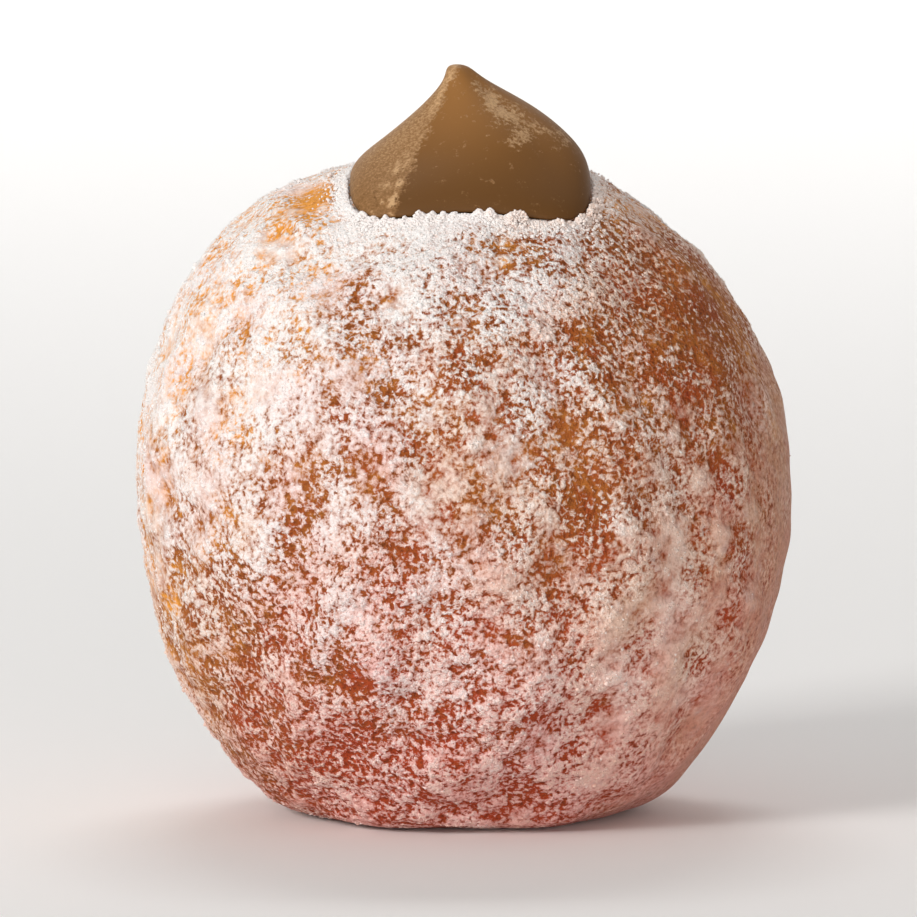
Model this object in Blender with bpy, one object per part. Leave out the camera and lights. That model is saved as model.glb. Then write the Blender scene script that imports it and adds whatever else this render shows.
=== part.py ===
"""Filled mini doughnut: a fried dough ball dusted with sugar, with a piped dollop of brown cream
standing in the filling hole on its top.

Metres, +Z up. The ball rests on a flat spot at z = 0, below the middle of its bounding box, and its
shown face looks along -Y. The shape is worked out in millimetres and scaled once, in make_piece.
"""
import bmesh
import bpy
import numpy as np

MM = 0.001

# Dough ball, outer box
BALL_WIDTH = 56.2
BALL_DEPTH = 50.0
BALL_HEIGHT = 57.5
EQUATOR_HEIGHT = 27.6
BELLY_DROP = 33.6          # half height that the belly would have without its flat spot
CROWN_ROUNDING = 2.16      # superellipse exponent above the equator, 2 is an ellipse
BELLY_ROUNDING = 1.93      # the same below the equator
CROWN_LEAN = -1.5          # sideways lean of the crown
LEAN_START = 34.0          # height where the lean begins
FOOT_TUCK = 0.2            # share of the depth that the ball loses at its foot
FOOT_EDGE = 1.8            # rounding of the flat spot's edge
BALL_CELLS = 28            # mesh cells along each side of the cube that becomes the ball

# Relief of the fried crust
LUMP_LENGTHS = (11.0, 6.0, 3.8)
LUMP_HEIGHTS = (0.20, 0.13, 0.07)
FACE_RISE = 0.35           # how far the two fried faces stand above the pale belt between them
BELT_HALF_WIDTH = 6.0
BELT_EDGE = 3.0
BELT_ROUGHNESS = 0.45      # height of the lumps on the belt, as a share of those on the faces
CREASE_TOP = (-9.7, 25.5)  # x and z of the fold in the shown face
CREASE_FOOT = (-13.6, 16.5)
CREASE_WIDTH = 1.7
CREASE_HEIGHT = 0.75
CREASE_FADE = 0.6          # how far past its middle the fold runs, as a share of its length

# Filling hole
HOLE_X = 0.55
HOLE_Y = -4.5
HOLE_HALF_WIDTH = 10.65
HOLE_HALF_DEPTH = 9.5
HOLE_SQUARENESS = (4.0, 2.2)  # superellipse exponents of the rim's plan, shown side and far side
HOLE_SINK = 3.0
DENT_DEPTH = 0.45           # the crown is pushed in around the hole
DENT_TILT = (-0.8, -0.12)  # and this much deeper or less deep toward its right end and its far side
DENT_SHARE = 1.68           # and comes back to its full height at this share of the hole's half width
LIP_HEIGHT = 0.25
LIP_WIDTH = 0.12           # as a share of the hole's half width
WALL_START = 0.55          # where the bowl's floor turns up into its wall, the same share
CALM_SHARES = (0.9, 1.4)   # the lumps fade in between these shares

# Cream dollop
CREAM_GAP = 0.3
CREAM_FILL = 0.95          # share of the hole that the dollop fills at its widest ring
CREAM_RING_RISE = 0.25      # height of that ring above the dented crown
CREAM_TOP = 64.65
CREAM_BULGE = 1.68         # exponents of the dollop's outline, from its widest ring to its tip
CREAM_TAPER = 1.31
SEAT_EDGE = 0.80           # where the underside turns up to the widest ring, as a share of its width
ROUND_CLIMB = 0.45         # share of the dollop's height above which its plan is round
TIP_SHARE = 0.136          # the rounded tip's radius, as a share of the dollop's half width
TIP_SHARPNESS = 20.0
SHOULDER_SHIFT = 0.96      # the dollop bulges to the right half way up
TIP_SHIFT = -1.12           # and its tip curls back to the left
TIP_SETBACK = 2.5          # the tip stands behind the middle of the hole
SWIRL_DEPTH = 0.03
SWIRL_LOBES = 3
SWIRL_TURN = 5.0           # radians that the swirl turns from the ring to the tip
CREAM_SEGMENTS = 44
CREAM_RINGS = 26

CRUST_COLOUR = (0.60, 0.33, 0.22, 1.0)
CREAM_COLOUR = (0.235, 0.110, 0.035, 1.0)


def smooth_step(values, start, end):
    """Rise smoothly from 0 at start to 1 at end."""
    share = np.clip((values - start) / (end - start), 0.0, 1.0)
    return share * share * (3.0 - 2.0 * share)


def lumps(points, length, seed, waves=24):
    """Smooth lumps of about unit height and one wavelength, from plane waves with seeded headings."""
    rng = np.random.default_rng(seed)
    headings = rng.normal(size=(waves, 3))
    headings /= np.linalg.norm(headings, axis=1, keepdims=True)
    phases = rng.uniform(0.0, 2.0 * np.pi, waves)
    angles = points @ headings.T * (2.0 * np.pi / length) + phases
    return np.sin(angles).sum(axis=1) * np.sqrt(2.0 / waves)


def lean(height):
    """Sideways shift of the crown at a height."""
    return CROWN_LEAN * smooth_step(height, LEAN_START, BALL_HEIGHT)


def crown(x, y):
    """Height of the smooth crown above a plan point."""
    span = (2.0 * (x - CROWN_LEAN) / BALL_WIDTH) ** 2 + (2.0 * y / BALL_DEPTH) ** 2
    rise = np.clip(1.0 - span ** (CROWN_ROUNDING / 2.0), 0.0, 1.0) ** (1.0 / CROWN_ROUNDING)
    return EQUATOR_HEIGHT + (BALL_HEIGHT - EQUATOR_HEIGHT) * rise


def rim_squareness(toward_far_side):
    """How square the rim's plan is on either side of the hole's middle."""
    shown_side, far_side = HOLE_SQUARENESS
    return np.where(toward_far_side < 0.0, shown_side, far_side)


def hole_share(x, y):
    """0 at the middle of the filling hole, 1 on its rim."""
    across = np.abs(x - HOLE_X) / HOLE_HALF_WIDTH
    along = np.abs(y - HOLE_Y) / HOLE_HALF_DEPTH
    squareness = rim_squareness(y - HOLE_Y)
    return (across ** squareness + along ** squareness) ** (1.0 / squareness)


def dent(x, y):
    """Vertical offset of the crown where it is pushed in around the filling hole."""
    tilt_x, tilt_y = DENT_TILT
    across = np.clip((x - HOLE_X) / HOLE_HALF_WIDTH, -1.0, 1.0)
    along = np.clip((y - HOLE_Y) / HOLE_HALF_DEPTH, -1.0, 1.0)
    depth = np.clip(DENT_DEPTH + tilt_x * across + tilt_y * along, 0.0, None)
    return depth * (smooth_step(hole_share(x, y), 1.0, DENT_SHARE) - 1.0)


def hole_offset(x, y):
    """Vertical offset of the crust in and around the filling hole."""
    share = hole_share(x, y)
    bowl = HOLE_SINK * (smooth_step(share, WALL_START, 1.0) - 1.0)
    lip = LIP_HEIGHT * np.exp(-((share - 1.0 - LIP_WIDTH) / LIP_WIDTH) ** 2)
    return bowl + dent(x, y) + lip


def crease(points):
    """A fold in the shown face: a ridge with a groove along its left side."""
    top_x, top_z = CREASE_TOP
    foot_x, foot_z = CREASE_FOOT
    slope = (top_x - foot_x) / (top_z - foot_z)
    aside = (points[:, 0] - foot_x - slope * (points[:, 2] - foot_z)) / CREASE_WIDTH
    length = top_z - foot_z
    middle = (top_z + foot_z) / 2.0
    fade = np.exp(-((points[:, 2] - middle) / (CREASE_FADE * length)) ** 4) * (points[:, 1] < 0.0)
    return CREASE_HEIGHT * (aside + 0.2) * np.exp(-(aside ** 2)) * fade


def crust_points(headings):
    """Points of the crust, in millimetres, in the directions seen from the ball's middle."""
    half_width = BALL_WIDTH / 2.0
    half_depth = BALL_DEPTH / 2.0
    upward = headings[:, 2] > 0.0
    half_height = np.where(upward, BALL_HEIGHT - EQUATOR_HEIGHT, BELLY_DROP)
    rounding = np.where(upward, CROWN_ROUNDING, BELLY_ROUNDING)
    span = (headings[:, 0] / half_width) ** 2 + (headings[:, 1] / half_depth) ** 2
    climb = np.abs(headings[:, 2]) / half_height
    reach = (span ** (rounding / 2.0) + climb ** rounding) ** (-1.0 / rounding)
    points = headings * reach[:, None]
    depth_share = np.clip(-points[:, 2] / BELLY_DROP, 0.0, 1.0)
    points[:, 1] *= 1.0 - FOOT_TUCK * depth_share ** 4
    points[:, 2] += EQUATOR_HEIGHT

    faces = smooth_step(np.abs(points[:, 1]), BELT_HALF_WIDTH, BELT_HALF_WIDTH + BELT_EDGE)
    relief = FACE_RISE * (faces - 1.0) + crease(points)
    for seed, (length, height) in enumerate(zip(LUMP_LENGTHS, LUMP_HEIGHTS)):
        relief += height * (BELT_ROUGHNESS + (1.0 - BELT_ROUGHNESS) * faces) * lumps(points, length, seed)
    calm = smooth_step(hole_share(points[:, 0] + lean(points[:, 2]), points[:, 1]), *CALM_SHARES)
    calm = np.where(upward, calm, 1.0)
    points += headings * (relief * calm)[:, None]

    points[:, 0] += lean(points[:, 2])
    points[:, 2] += np.where(upward, hole_offset(points[:, 0], points[:, 1]), 0.0)
    edge = np.clip(points[:, 2] + FOOT_EDGE, 0.0, 2.0 * FOOT_EDGE)
    points[:, 2] = np.where(points[:, 2] > FOOT_EDGE, points[:, 2], edge ** 2 / (4.0 * FOOT_EDGE))
    return points


def cream_points(headings):
    """Points of the dollop: a tapering cap above its widest ring and a seat that fills the hole."""
    azimuth = np.arctan2(headings[:, 1], headings[:, 0])
    cosine = np.cos(azimuth)
    sine = np.sin(azimuth)
    squareness = rim_squareness(sine)
    squared = (np.abs(cosine) ** squareness + np.abs(sine) ** squareness) ** (-1.0 / squareness)
    polar = np.arccos(np.clip(headings[:, 2], -1.0, 1.0)) / (np.pi / 2.0)
    above = polar < 1.0
    climb = np.where(above, np.sin((1.0 - polar) * np.pi / 2.0), 0.0)

    taper = np.clip(1.0 - climb ** CREAM_BULGE, 0.0, 1.0) ** CREAM_TAPER
    tip = TIP_SHARE * np.sqrt(np.clip(1.0 - climb ** TIP_SHARPNESS, 0.0, 1.0)) * climb
    cap = np.hypot(taper, tip)
    seat = np.clip(2.0 - polar, 0.0, 1.0)
    share = CREAM_FILL * np.where(above, cap, seat)
    roundness = smooth_step(climb, 0.0, ROUND_CLIMB)
    share *= squared * (1.0 - roundness) + roundness
    share *= 1.0 + SWIRL_DEPTH * roundness * np.cos(SWIRL_LOBES * azimuth + SWIRL_TURN * climb)
    x = HOLE_X + HOLE_HALF_WIDTH * share * cosine
    y = HOLE_Y + HOLE_HALF_DEPTH * share * sine

    ring_x = HOLE_X + HOLE_HALF_WIDTH * CREAM_FILL * squared * cosine
    ring_y = HOLE_Y + HOLE_HALF_DEPTH * CREAM_FILL * squared * sine
    ring = crown(ring_x, ring_y) + dent(ring_x, ring_y) + CREAM_RING_RISE
    floor = crown(x, y) + hole_offset(x, y) + CREAM_GAP
    overhang = smooth_step(share / (CREAM_FILL * squared), SEAT_EDGE, 1.0)
    z = np.where(above, ring + (CREAM_TOP - ring) * climb, floor + (ring - floor) * overhang)

    x += SHOULDER_SHIFT * np.sin(np.pi * climb) ** 2 + TIP_SHIFT * climb ** 4
    y += TIP_SETBACK * climb
    return np.column_stack((x, y, z))


def box_fit(points):
    """Scale and shift that give the ball its outer box, centred over z = 0."""
    low = points.min(axis=0)
    high = points.max(axis=0)
    scale = np.array((BALL_WIDTH, BALL_DEPTH, high[2])) / (high - low)
    scale[2] = 1.0
    middle = (low + high) / 2.0
    middle[2] = 0.0
    return scale, middle


def cube_sphere(mesh):
    """Fill the mesh with a sphere made of a cube's even square cells."""
    ball = bmesh.new()
    bmesh.ops.create_cube(ball, size=2.0)
    bmesh.ops.subdivide_edges(ball, edges=ball.edges[:], cuts=BALL_CELLS - 1, use_grid_fill=True)
    ball.to_mesh(mesh)
    ball.free()
    corners = read_points(mesh)
    evened = np.tan(corners * np.pi / 4.0)
    return evened / np.linalg.norm(evened, axis=1, keepdims=True)


def ring_sphere(mesh):
    """Fill the mesh with a sphere made of rings, for the dollop."""
    ball = bmesh.new()
    bmesh.ops.create_uvsphere(ball, u_segments=CREAM_SEGMENTS, v_segments=CREAM_RINGS, radius=1.0)
    ball.to_mesh(mesh)
    ball.free()
    return read_points(mesh)


def read_points(mesh):
    """The mesh's vertices as an array."""
    points = np.empty(3 * len(mesh.vertices), dtype=np.float64)
    mesh.vertices.foreach_get("co", points)
    return points.reshape(-1, 3)


def make_piece(name, mesh, points, material, collection):
    """Link one object whose vertices lie at the points, given in millimetres."""
    mesh.vertices.foreach_set("co", (points * MM).ravel())
    mesh.update()
    mesh.shade_smooth()
    mesh.materials.append(material)
    piece = bpy.data.objects.new(name, mesh)
    collection.objects.link(piece)
    return piece


def make_material(name, colour, roughness):
    """A plain material."""
    material = bpy.data.materials.new(name)
    material.use_nodes = True
    shader = material.node_tree.nodes["Principled BSDF"]
    shader.inputs["Base Color"].default_value = colour
    shader.inputs["Roughness"].default_value = roughness
    shader.inputs["Metallic"].default_value = 0.0
    return material


def main():
    for item in list(bpy.data.objects):
        bpy.data.objects.remove(item)
    collection = bpy.data.collections.new("mini_doughnut")
    bpy.context.scene.collection.children.link(collection)

    crust_mesh = bpy.data.meshes.new("doughnut")
    crust = crust_points(cube_sphere(crust_mesh))
    scale, middle = box_fit(crust)
    crust_material = make_material("sugared_crust", CRUST_COLOUR, 0.8)
    make_piece("doughnut", crust_mesh, (crust - middle) * scale, crust_material, collection)

    cream_mesh = bpy.data.meshes.new("cream")
    cream = cream_points(ring_sphere(cream_mesh))
    cream_material = make_material("brown_cream", CREAM_COLOUR, 0.45)
    make_piece("cream", cream_mesh, (cream - middle) * scale, cream_material, collection)


main()
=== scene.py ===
"""Looks of the filled mini doughnut: fried crust, powdered sugar and the dollop of brown cream.

Sizes are in millimetres until they reach the scene. The shown face is the one toward -Y.

A height share is 0 at the equator and -1 on the floor. A side share is -1 at the left edge of the
ball and 1 at the right one. A range runs from where there is none of a thing to where there is all
of it. A gain or a fade is an amount and the range over which it comes in. Lumps are wavelength,
height and seed.
"""

import bmesh
import bpy
import numpy as np
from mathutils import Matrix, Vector


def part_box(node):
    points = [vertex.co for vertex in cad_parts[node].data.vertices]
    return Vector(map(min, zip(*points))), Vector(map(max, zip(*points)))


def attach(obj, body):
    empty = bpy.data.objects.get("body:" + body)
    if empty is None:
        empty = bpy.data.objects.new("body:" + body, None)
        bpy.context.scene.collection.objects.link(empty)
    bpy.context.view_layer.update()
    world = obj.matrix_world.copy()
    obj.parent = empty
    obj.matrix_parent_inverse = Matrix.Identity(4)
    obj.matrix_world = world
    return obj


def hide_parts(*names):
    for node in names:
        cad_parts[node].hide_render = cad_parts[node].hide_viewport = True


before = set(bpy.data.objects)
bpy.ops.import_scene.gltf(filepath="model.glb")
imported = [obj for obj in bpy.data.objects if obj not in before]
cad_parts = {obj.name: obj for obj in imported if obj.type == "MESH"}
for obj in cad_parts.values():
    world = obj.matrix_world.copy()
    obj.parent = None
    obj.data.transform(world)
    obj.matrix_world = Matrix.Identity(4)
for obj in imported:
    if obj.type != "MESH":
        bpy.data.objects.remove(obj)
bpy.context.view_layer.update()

MM = 0.001

# Dough ball, as the solid is made
BALL_WIDTH = 56.2
BALL_DEPTH = 50.0
BALL_HEIGHT = 57.5
EQUATOR_HEIGHT = 27.6
BELLY_DROP = 33.6
CROWN_ROUNDING = 2.16
BELLY_ROUNDING = 1.93
CROWN_LEAN = -1.5
LEAN_START = 34.0
FOOT_TUCK = 0.2
FOOT_EDGE = 1.8
LUMP_LENGTHS = (11.0, 6.0, 3.8)
LUMP_HEIGHTS = (0.20, 0.13, 0.07)
FACE_RISE = 0.35
BELT_HALF_WIDTH = 6.0
BELT_EDGE = 3.0
BELT_ROUGHNESS = 0.45
CREASE_TOP = (-9.7, 25.5)
CREASE_FOOT = (-13.6, 16.5)
CREASE_WIDTH = 1.7
CREASE_HEIGHT = 0.75
CREASE_OFFSET = 0.2
CREASE_FADE = 0.6
HOLE_X = 0.55
HOLE_Y = -4.5
HOLE_HALF_WIDTH = 10.65
HOLE_HALF_DEPTH = 9.5
HOLE_SQUARENESS = (4.0, 2.2)
HOLE_SINK = 3.0
DENT_DEPTH = 0.45
DENT_TILT = (-0.8, -0.12)
DENT_SHARE = 1.68
LIP_HEIGHT = 0.25
LIP_WIDTH = 0.12
WALL_START = 0.55
CALM_SHARES = (0.9, 1.4)

# Cream dollop, as the solid is made
CREAM_GAP = 0.3
CREAM_FILL = 0.95
CREAM_RING_RISE = 0.25
CREAM_TOP = 64.65
CREAM_BULGE = 1.68
CREAM_TAPER = 1.31
SEAT_EDGE = 0.80
ROUND_CLIMB = 0.45
TIP_SHARE = 0.136
TIP_SHARPNESS = 20.0
SHOULDER_SHIFT = 0.96
TIP_SHIFT = -1.12
TIP_SETBACK = 2.5
SWIRL_DEPTH = 0.03
SWIRL_LOBES = 3
SWIRL_TURN = 5.0

# Fine meshes and their maps
SKIN_CELLS = 124
CREAM_SEGMENTS = 176
CREAM_RINGS = 120
MAP_REACH = 0.48  # half the width of a side of the crust in its cell of the map
MAP_TRIANGLE = ((-0.3, -0.3), (0.3, -0.3), (0.0, 0.3))  # a scattered face in its cell of the map

# Parts of the ball, as ranges
SHOWN_FACE = (0.0, -6.0)  # y
LOWER_PART = (0.0, -0.5)  # height share

# Powdered sugar: how much of the crust it hides
COVER = 0.515
COVER_UP = 0.10  # more toward the top
COVER_RIGHT = -0.09  # less toward the right
COVER_LUMPS = ((8.0, 0.04, 11), (4.2, 0.06, 12), (2.4, 0.07, 13), (1.4, 0.065, 14))
LOW_ROUGHNESS = 0.4  # how much rougher it lies on the lower part
LOW_ROUGHNESS_FADE = (1.0, 0.2, 0.6)  # side share
RIM_COVER = 0.27  # more along the rim of the filling hole
RIM_BAND = (1.02, 0.12)  # middle and width of that, in shares of the hole
RIM_RIGHT_FADE = (1.0, 5.0, 10.0)  # x
RIM_LEFT_FADE = (0.5, -7.5, -10.0)  # x
BELT_COVER = 0.46  # the even film on the belt's right side
EVEN_DEPTH_FADE = (1.0, 5.0, 19.0)  # distance from the belt's middle
EVEN_HEIGHT_FADE = (1.0, 34.0, 46.0)  # height
EVEN_SIDES = (-0.2, 0.6)  # side share
EVEN_CALM = 0.7  # how much weaker the network is there, and how much rarer grains are

# Powdered sugar: its fine network of ridges and pits
NETWORK_LENGTH = 0.43
NETWORK_DETAIL = 2.5
NETWORK_ROUGHNESS = 0.6
NETWORK_WARP = 0.3
NETWORK_CONTRAST = 3.4
NETWORK_EVEN = 0.62  # its strength where the sugar lies evenly
NETWORK_LUMPS = ((5.0, 0.3, 72),)
NETWORK_FAR_GAIN = (0.30, 4.0, 10.0)  # y, on the far face
FAR_LUMPS = ((14.0, 0.6, 71),)
NETWORK_THIN = 1.0  # how much stronger it is for each share of cover missing
THIN_COVER = 0.5  # below this cover
THIN_LIMIT = 0.3  # and no further than this
NETWORK_LIMITS = (0.2, 1.1)

# Powdered sugar: how far fat from the crust has turned it tan; toward the right this is partly painted
# shade
TINT = 0.25
TINT_UP = -0.34  # less toward the top
TINT_LOWEST = -0.1  # from this height share
# partly painted shade: the sugar tanner on the right, away from the key light
TINT_RIGHT = 0.54  # more toward the right
TINT_LEFTMOST = -0.4  # from this side share
LOW_TINT_HEIGHTS = (0.1, -0.6)  # height share
LOW_LEFT_TINT_GAIN = (0.45, -0.2, -0.7)  # side share
LOW_RIGHT_TINT_GAIN = (0.20, 0.4, 0.9)  # side share
FOOT_TINT_GAIN = (0.32, -0.6, -0.95)  # height share
TINT_LUMPS = ((6.5, 0.10, 51),)
TINT_LIMIT = 0.8

# Powdered sugar: how pink it looks toward the bottom, partly thin sugar over the darker lower crust and
# partly painted pink bounce light from below
BLUSH_HEIGHTS = (0.5, -0.9)  # height share
BLUSH_MIDDLE = -0.15  # side share
BLUSH_FADE = (0.6, 0.35, 0.9)  # side share away from that
BLUSH_LUMPS = ((7.5, 0.10, 52),)

# Crust: how dark it is fried
BROWN = 0.56
BROWN_UP = 0.42  # how much paler toward the top
BROWN_UP_FADE = (0.5, -0.6, 0.1)  # side share
BROWN_DOWN = 0.62  # how much darker toward the foot
BROWN_RIGHT = 0.22  # how much darker toward the right
BELT_PALENESS = 0.20  # how much paler on the belt
BELT_FADE = (1.0, 5.0, 15.0)  # distance from the belt's middle
LOW_LEFT_PALE_GAIN = (0.25, -0.45, -0.85)  # side share
BROWN_LUMPS = ((7.0, 0.07, 21), (2.2, 0.05, 22))

# Besides the real patchiness of sugar and crust, some patches are painted shade, such as the darker
# middle and upper right of the face.
# Patches on the shown face, each as x, height as seen, half width, half height and strength.
# Where the sugar's network is stronger (+) or weaker (-)
NETWORK_PATCHES = (
    (-6.0, 12.0, 14.0, 12.0, 0.40),
    (3.0, 45.0, 11.0, 6.5, 0.35),
    (12.0, 34.0, 9.0, 14.0, 0.20),
    (15.0, 48.0, 5.0, 5.0, 0.25),
    (-13.0, 25.5, 5.0, 6.0, 0.20),
    (-25.0, 33.0, 4.0, 12.0, -0.25),
    (1.0, 28.0, 7.0, 7.0, -0.22),
    (18.0, 17.0, 6.0, 14.0, -0.35),
)
# Where the sugar is thicker (+) or thinner (-)
SUGAR_PATCHES = (
    (-15.0, 47.0, 7.0, 5.0, 0.12),
    (-0.5, 49.5, 6.5, 1.6, 0.18),
    (-3.2, 47.0, 2.3, 1.9, 0.32),
    (9.2, 43.8, 1.7, 1.4, 0.34),
    (-15.5, 34.0, 3.0, 6.0, 0.09),
    (-11.0, 24.0, 1.1, 5.0, 0.24),
    (3.7, 11.8, 4.0, 2.2, 0.16),
    (17.5, 27.0, 3.0, 6.0, 0.10),
    (11.0, 5.5, 7.0, 4.0, 0.20),
    (15.0, 15.0, 6.0, 8.0, 0.22),
    (-10.3, 20.0, 1.6, 3.0, 0.22),
    (-7.6, 15.0, 1.6, 2.6, 0.24),
    (-5.2, 9.5, 2.0, 2.6, 0.20),
    (-4.5, 2.2, 6.0, 2.0, 0.03),
    (-18.9, 35.4, 1.4, 1.4, -0.25),
    (10.0, 31.5, 4.0, 4.0, -0.08),
    (-1.2, 10.5, 1.6, 1.6, 0.12),
    (-12.5, 53.0, 2.6, 2.1, -0.90),
    (-15.5, 49.2, 1.4, 1.8, -0.48),
    (12.5, 51.5, 3.0, 3.5, -0.09),
    (-6.4, 49.7, 0.8, 1.6, -0.34),
    (-8.5, 43.8, 2.2, 1.6, -0.28),
    (4.0, 47.6, 2.4, 1.8, -0.35),
    (0.8, 44.8, 2.5, 2.0, -0.14),
    (-0.3, 39.6, 2.2, 1.8, -0.22),
    (9.8, 41.0, 1.8, 2.4, -0.30),
    (20.0, 42.0, 4.5, 6.5, -0.17),
    (13.5, 47.5, 4.5, 4.5, -0.07),
    (20.5, 40.0, 6.5, 9.0, -0.30),
    (-3.0, 33.0, 10.0, 8.0, -0.10),
    (-1.0, 44.0, 9.0, 5.0, 0.07),
    (1.0, 28.0, 7.0, 7.0, -0.01),
    (-8.0, 35.0, 6.0, 7.0, -0.08),
    (2.0, 15.0, 12.0, 10.0, -0.03),
    (11.6, 32.6, 4.0, 5.0, -0.14),
    (9.2, 26.8, 2.0, 2.2, -0.30),
    (11.0, 23.2, 3.2, 3.0, -0.16),
    (10.4, 25.0, 2.4, 3.2, -0.18),
    (6.0, 22.4, 1.8, 2.0, 0.16),
    (-13.4, 26.0, 2.0, 3.4, -0.26),
    (-9.7, 11.3, 2.6, 2.2, -0.30),
    (-6.0, 7.5, 4.5, 2.2, -0.12),
    (-20.5, 15.0, 5.5, 8.0, -0.24),
    (-15.0, 4.5, 6.0, 4.5, -0.16),
    (-22.0, 41.5, 1.5, 2.8, -0.18),
)
# Where the sugar is tanner (+) or whiter (-)
TINT_PATCHES = (
    (-9.0, 36.0, 6.0, 9.0, -0.10),
    (-2.0, 46.0, 9.0, 5.0, -0.15),
    (1.0, 28.0, 6.0, 7.0, 0.12),
    (15.5, 46.0, 6.0, 6.5, 0.42),
    (3.0, 51.0, 9.0, 1.3, 0.08),
    (-15.0, 6.0, 8.0, 6.0, 0.20),
)
# Where it is pinker (+) or less pink (-)
BLUSH_PATCHES = (
    (-9.0, 34.0, 6.0, 9.0, 0.42),
    (-24.0, 33.0, 5.0, 12.0, 0.15),
    (2.0, 29.0, 6.0, 5.0, -0.22),
    (11.0, 20.0, 6.0, 9.0, -0.35),
    (-23.0, 14.0, 6.0, 10.0, -0.45),
    (-15.0, 5.0, 7.0, 5.0, -0.22),
    (0.0, 2.0, 9.0, 4.0, 0.20),
)
# Where the crust is browner (+) or paler (-)
BROWN_PATCHES = (
    (-5.0, 35.0, 9.0, 10.0, 0.12),
    (3.0, 46.0, 8.0, 5.0, 0.08),
    (10.0, 29.0, 5.0, 8.0, -0.16),
    (2.0, 28.0, 6.0, 5.0, -0.10),
    (13.0, 17.0, 5.0, 7.0, -0.12),
    (14.0, 48.0, 5.0, 4.0, 0.08),
    (19.0, 37.0, 5.0, 7.0, -0.12),
    (-12.5, 53.0, 3.0, 2.5, -0.20),
    (4.0, 47.6, 3.0, 2.5, -0.12),
    (10.6, 24.0, 3.0, 3.5, 0.12),
)

# Relief of the caked sugar on the crust
CAKE_HEIGHT = 0.30  # between the bare crust and the thickest sugar
CAKE_MIDDLE = 0.5  # share of that height that lies on the solid's own surface
CAKE_COVERS = (0.2, 0.9)
CAKE_FOOT = (0.2, 1.0)  # height above the floor

# Scattered grains: flat three-sided heaps. Their reach, slide and heights are shares of their size.
GRAINS = (  # piece, size, how many, seed
    ("sugar_dust", 0.12, 40000, 5),
    ("sugar_grains", 0.17, 44000, 6),
    ("sugar_flakes", 0.24, 32000, 7),
)
GRAIN_TRIES = 6  # places tried for each of them
GRAIN_LEVELS = (0.55, 1.05)  # level of the sugar
GRAIN_SIZES = (0.3, 0.6, 1.7)  # spread, smallest and largest
GRAIN_TURN = (-0.5, 0.5)  # of a corner, in radians
GRAIN_REACH = (0.45, 0.95)  # of a corner
GRAIN_FOOT = (-0.35, 0.05)  # height of a corner
GRAIN_SLIDE = (-0.3, 0.3)  # of the peak
GRAIN_PEAK = (0.10, 0.45)  # height of the peak
GRAIN_TINT = -0.03
GRAIN_TINT_SPREAD = 0.16
OPEN_SHARE = 0.97  # share of the hole outside which the crust is open
FOOT_CLEARANCE = 0.25  # height under which nothing is scattered

# Scattered clumps: rough lumps of caked sugar on the thick patches
CLUMPS = 500
CLUMP_SIZE = 0.15
CLUMP_SEED = 9
CLUMP_TRIES = 40  # places tried for each of them
CLUMP_COVER = 0.74  # least cover that holds one
CLUMP_SIZES = (0.3, 0.5, 1.8)  # spread, smallest and largest
CLUMP_ROUGHNESS = (0.65, 1.25)
CLUMP_TINT_SPREAD = 0.08

# Clumps heaped into a ragged edge along the rim of the filling hole
RIM_CLUMPS = 9200
RIM_CLUMP_SIZE = 0.108
RIM_ANGLES = (-1.85, 0.9)  # middle and spread, in radians round from the right
RIM_OUTWARD = 0.035  # spread past the rim, in shares of the hole
RIM_INWARD = 0.03  # and how far inside the rim that starts
RIM_PEAK = 0.46  # height of the heap
RIM_PEAK_GAIN = (0.14, 5.0, 8.0)  # x
RIM_PEAK_LUMPS = ((3.4, 0.16, 31), (1.5, 0.24, 32), (0.7, 0.26, 33))
RIM_PEAK_LIMITS = (0.26, 1.0)
RIM_RIDGE = 1.15  # share of that height on the rim itself, cut off at 1
RIM_RIDGE_SLOPE = 12.0  # and how much it falls for each share of the hole
RIM_HEAP_ANGLE = -1.8  # middle of the heaped stretch
RIM_HEAP_SPAN = 1.6  # and its reach to either side
RIM_HEAP_FADE = (0.6, -7.5, -9.5)  # x
RIM_FILL = 0.7  # below 1, more clumps lie near the heap's top
RIM_STEEPNESS = 22.0  # larger, the clumps stand more upright

# Painted highlights on the cream: its left flank, and patches right of the tip as above; painted shade
# low on the flank
CREAM_PAINTED_LIGHT_HEIGHTS = (51.0, 62.0)  # height as seen at which the cream's painted shade is darkest and its painted light lightest
FLANK_TOP = (-1.2, 61.8)  # x and height as seen where its edge starts
FLANK_SLOPE = 0.47
FLANK_BEND_GAIN = (0.3, 56.5, 53.5)  # height as seen
FLANK_SOFTNESS = 0.9
FLANK_SHADE_GAIN = (0.35, 54.0, 50.5)  # height as seen; painted shade low on the flank
PAINTED_HIGHLIGHT_PATCHES = (
    (0.9, 62.2, 0.5, 1.1, 0.60),
    (2.3, 60.9, 1.0, 1.2, 0.70),
    (3.8, 59.6, 1.5, 1.2, 0.75),
    (4.4, 57.3, 1.3, 0.9, 0.60),
    (6.4, 58.3, 1.8, 0.9, 0.50),
    (8.4, 57.3, 1.0, 0.8, 0.40),
)
PAINTED_HIGHLIGHT_LIMIT = 0.8
PAINTED_HIGHLIGHT_DEPTH = 4.0  # how far behind the hole's middle it reaches
PAINTED_HIGHLIGHT_LUMPS = ((2.0, 0.10, 61), (0.9, 0.06, 62))
FLECK_BAND = (0.8, 1.1)  # middle and width of the pale flecks, left of the flank's edge
FLECK_HEIGHTS = (57.5, 54.5)
FLECK_LUMPS = ((0.7, 1.0, 63), (1.7, 1.0, 64))
FLECK_RANGE = (-0.2, 1.2)  # of those lumps
RIDGE_PALENESS = 0.6  # of the flank's edge below the tip
RIDGE_BAND = (0.5, 0.5)  # its middle and width, left of the flank's edge
RIDGE_HEIGHTS = (58.0, 60.5)
UPPER_PAINTED_LIGHT_GAIN = (0.25, 53.0, 58.0)  # height as seen; painted light toward the top of the cream
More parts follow.
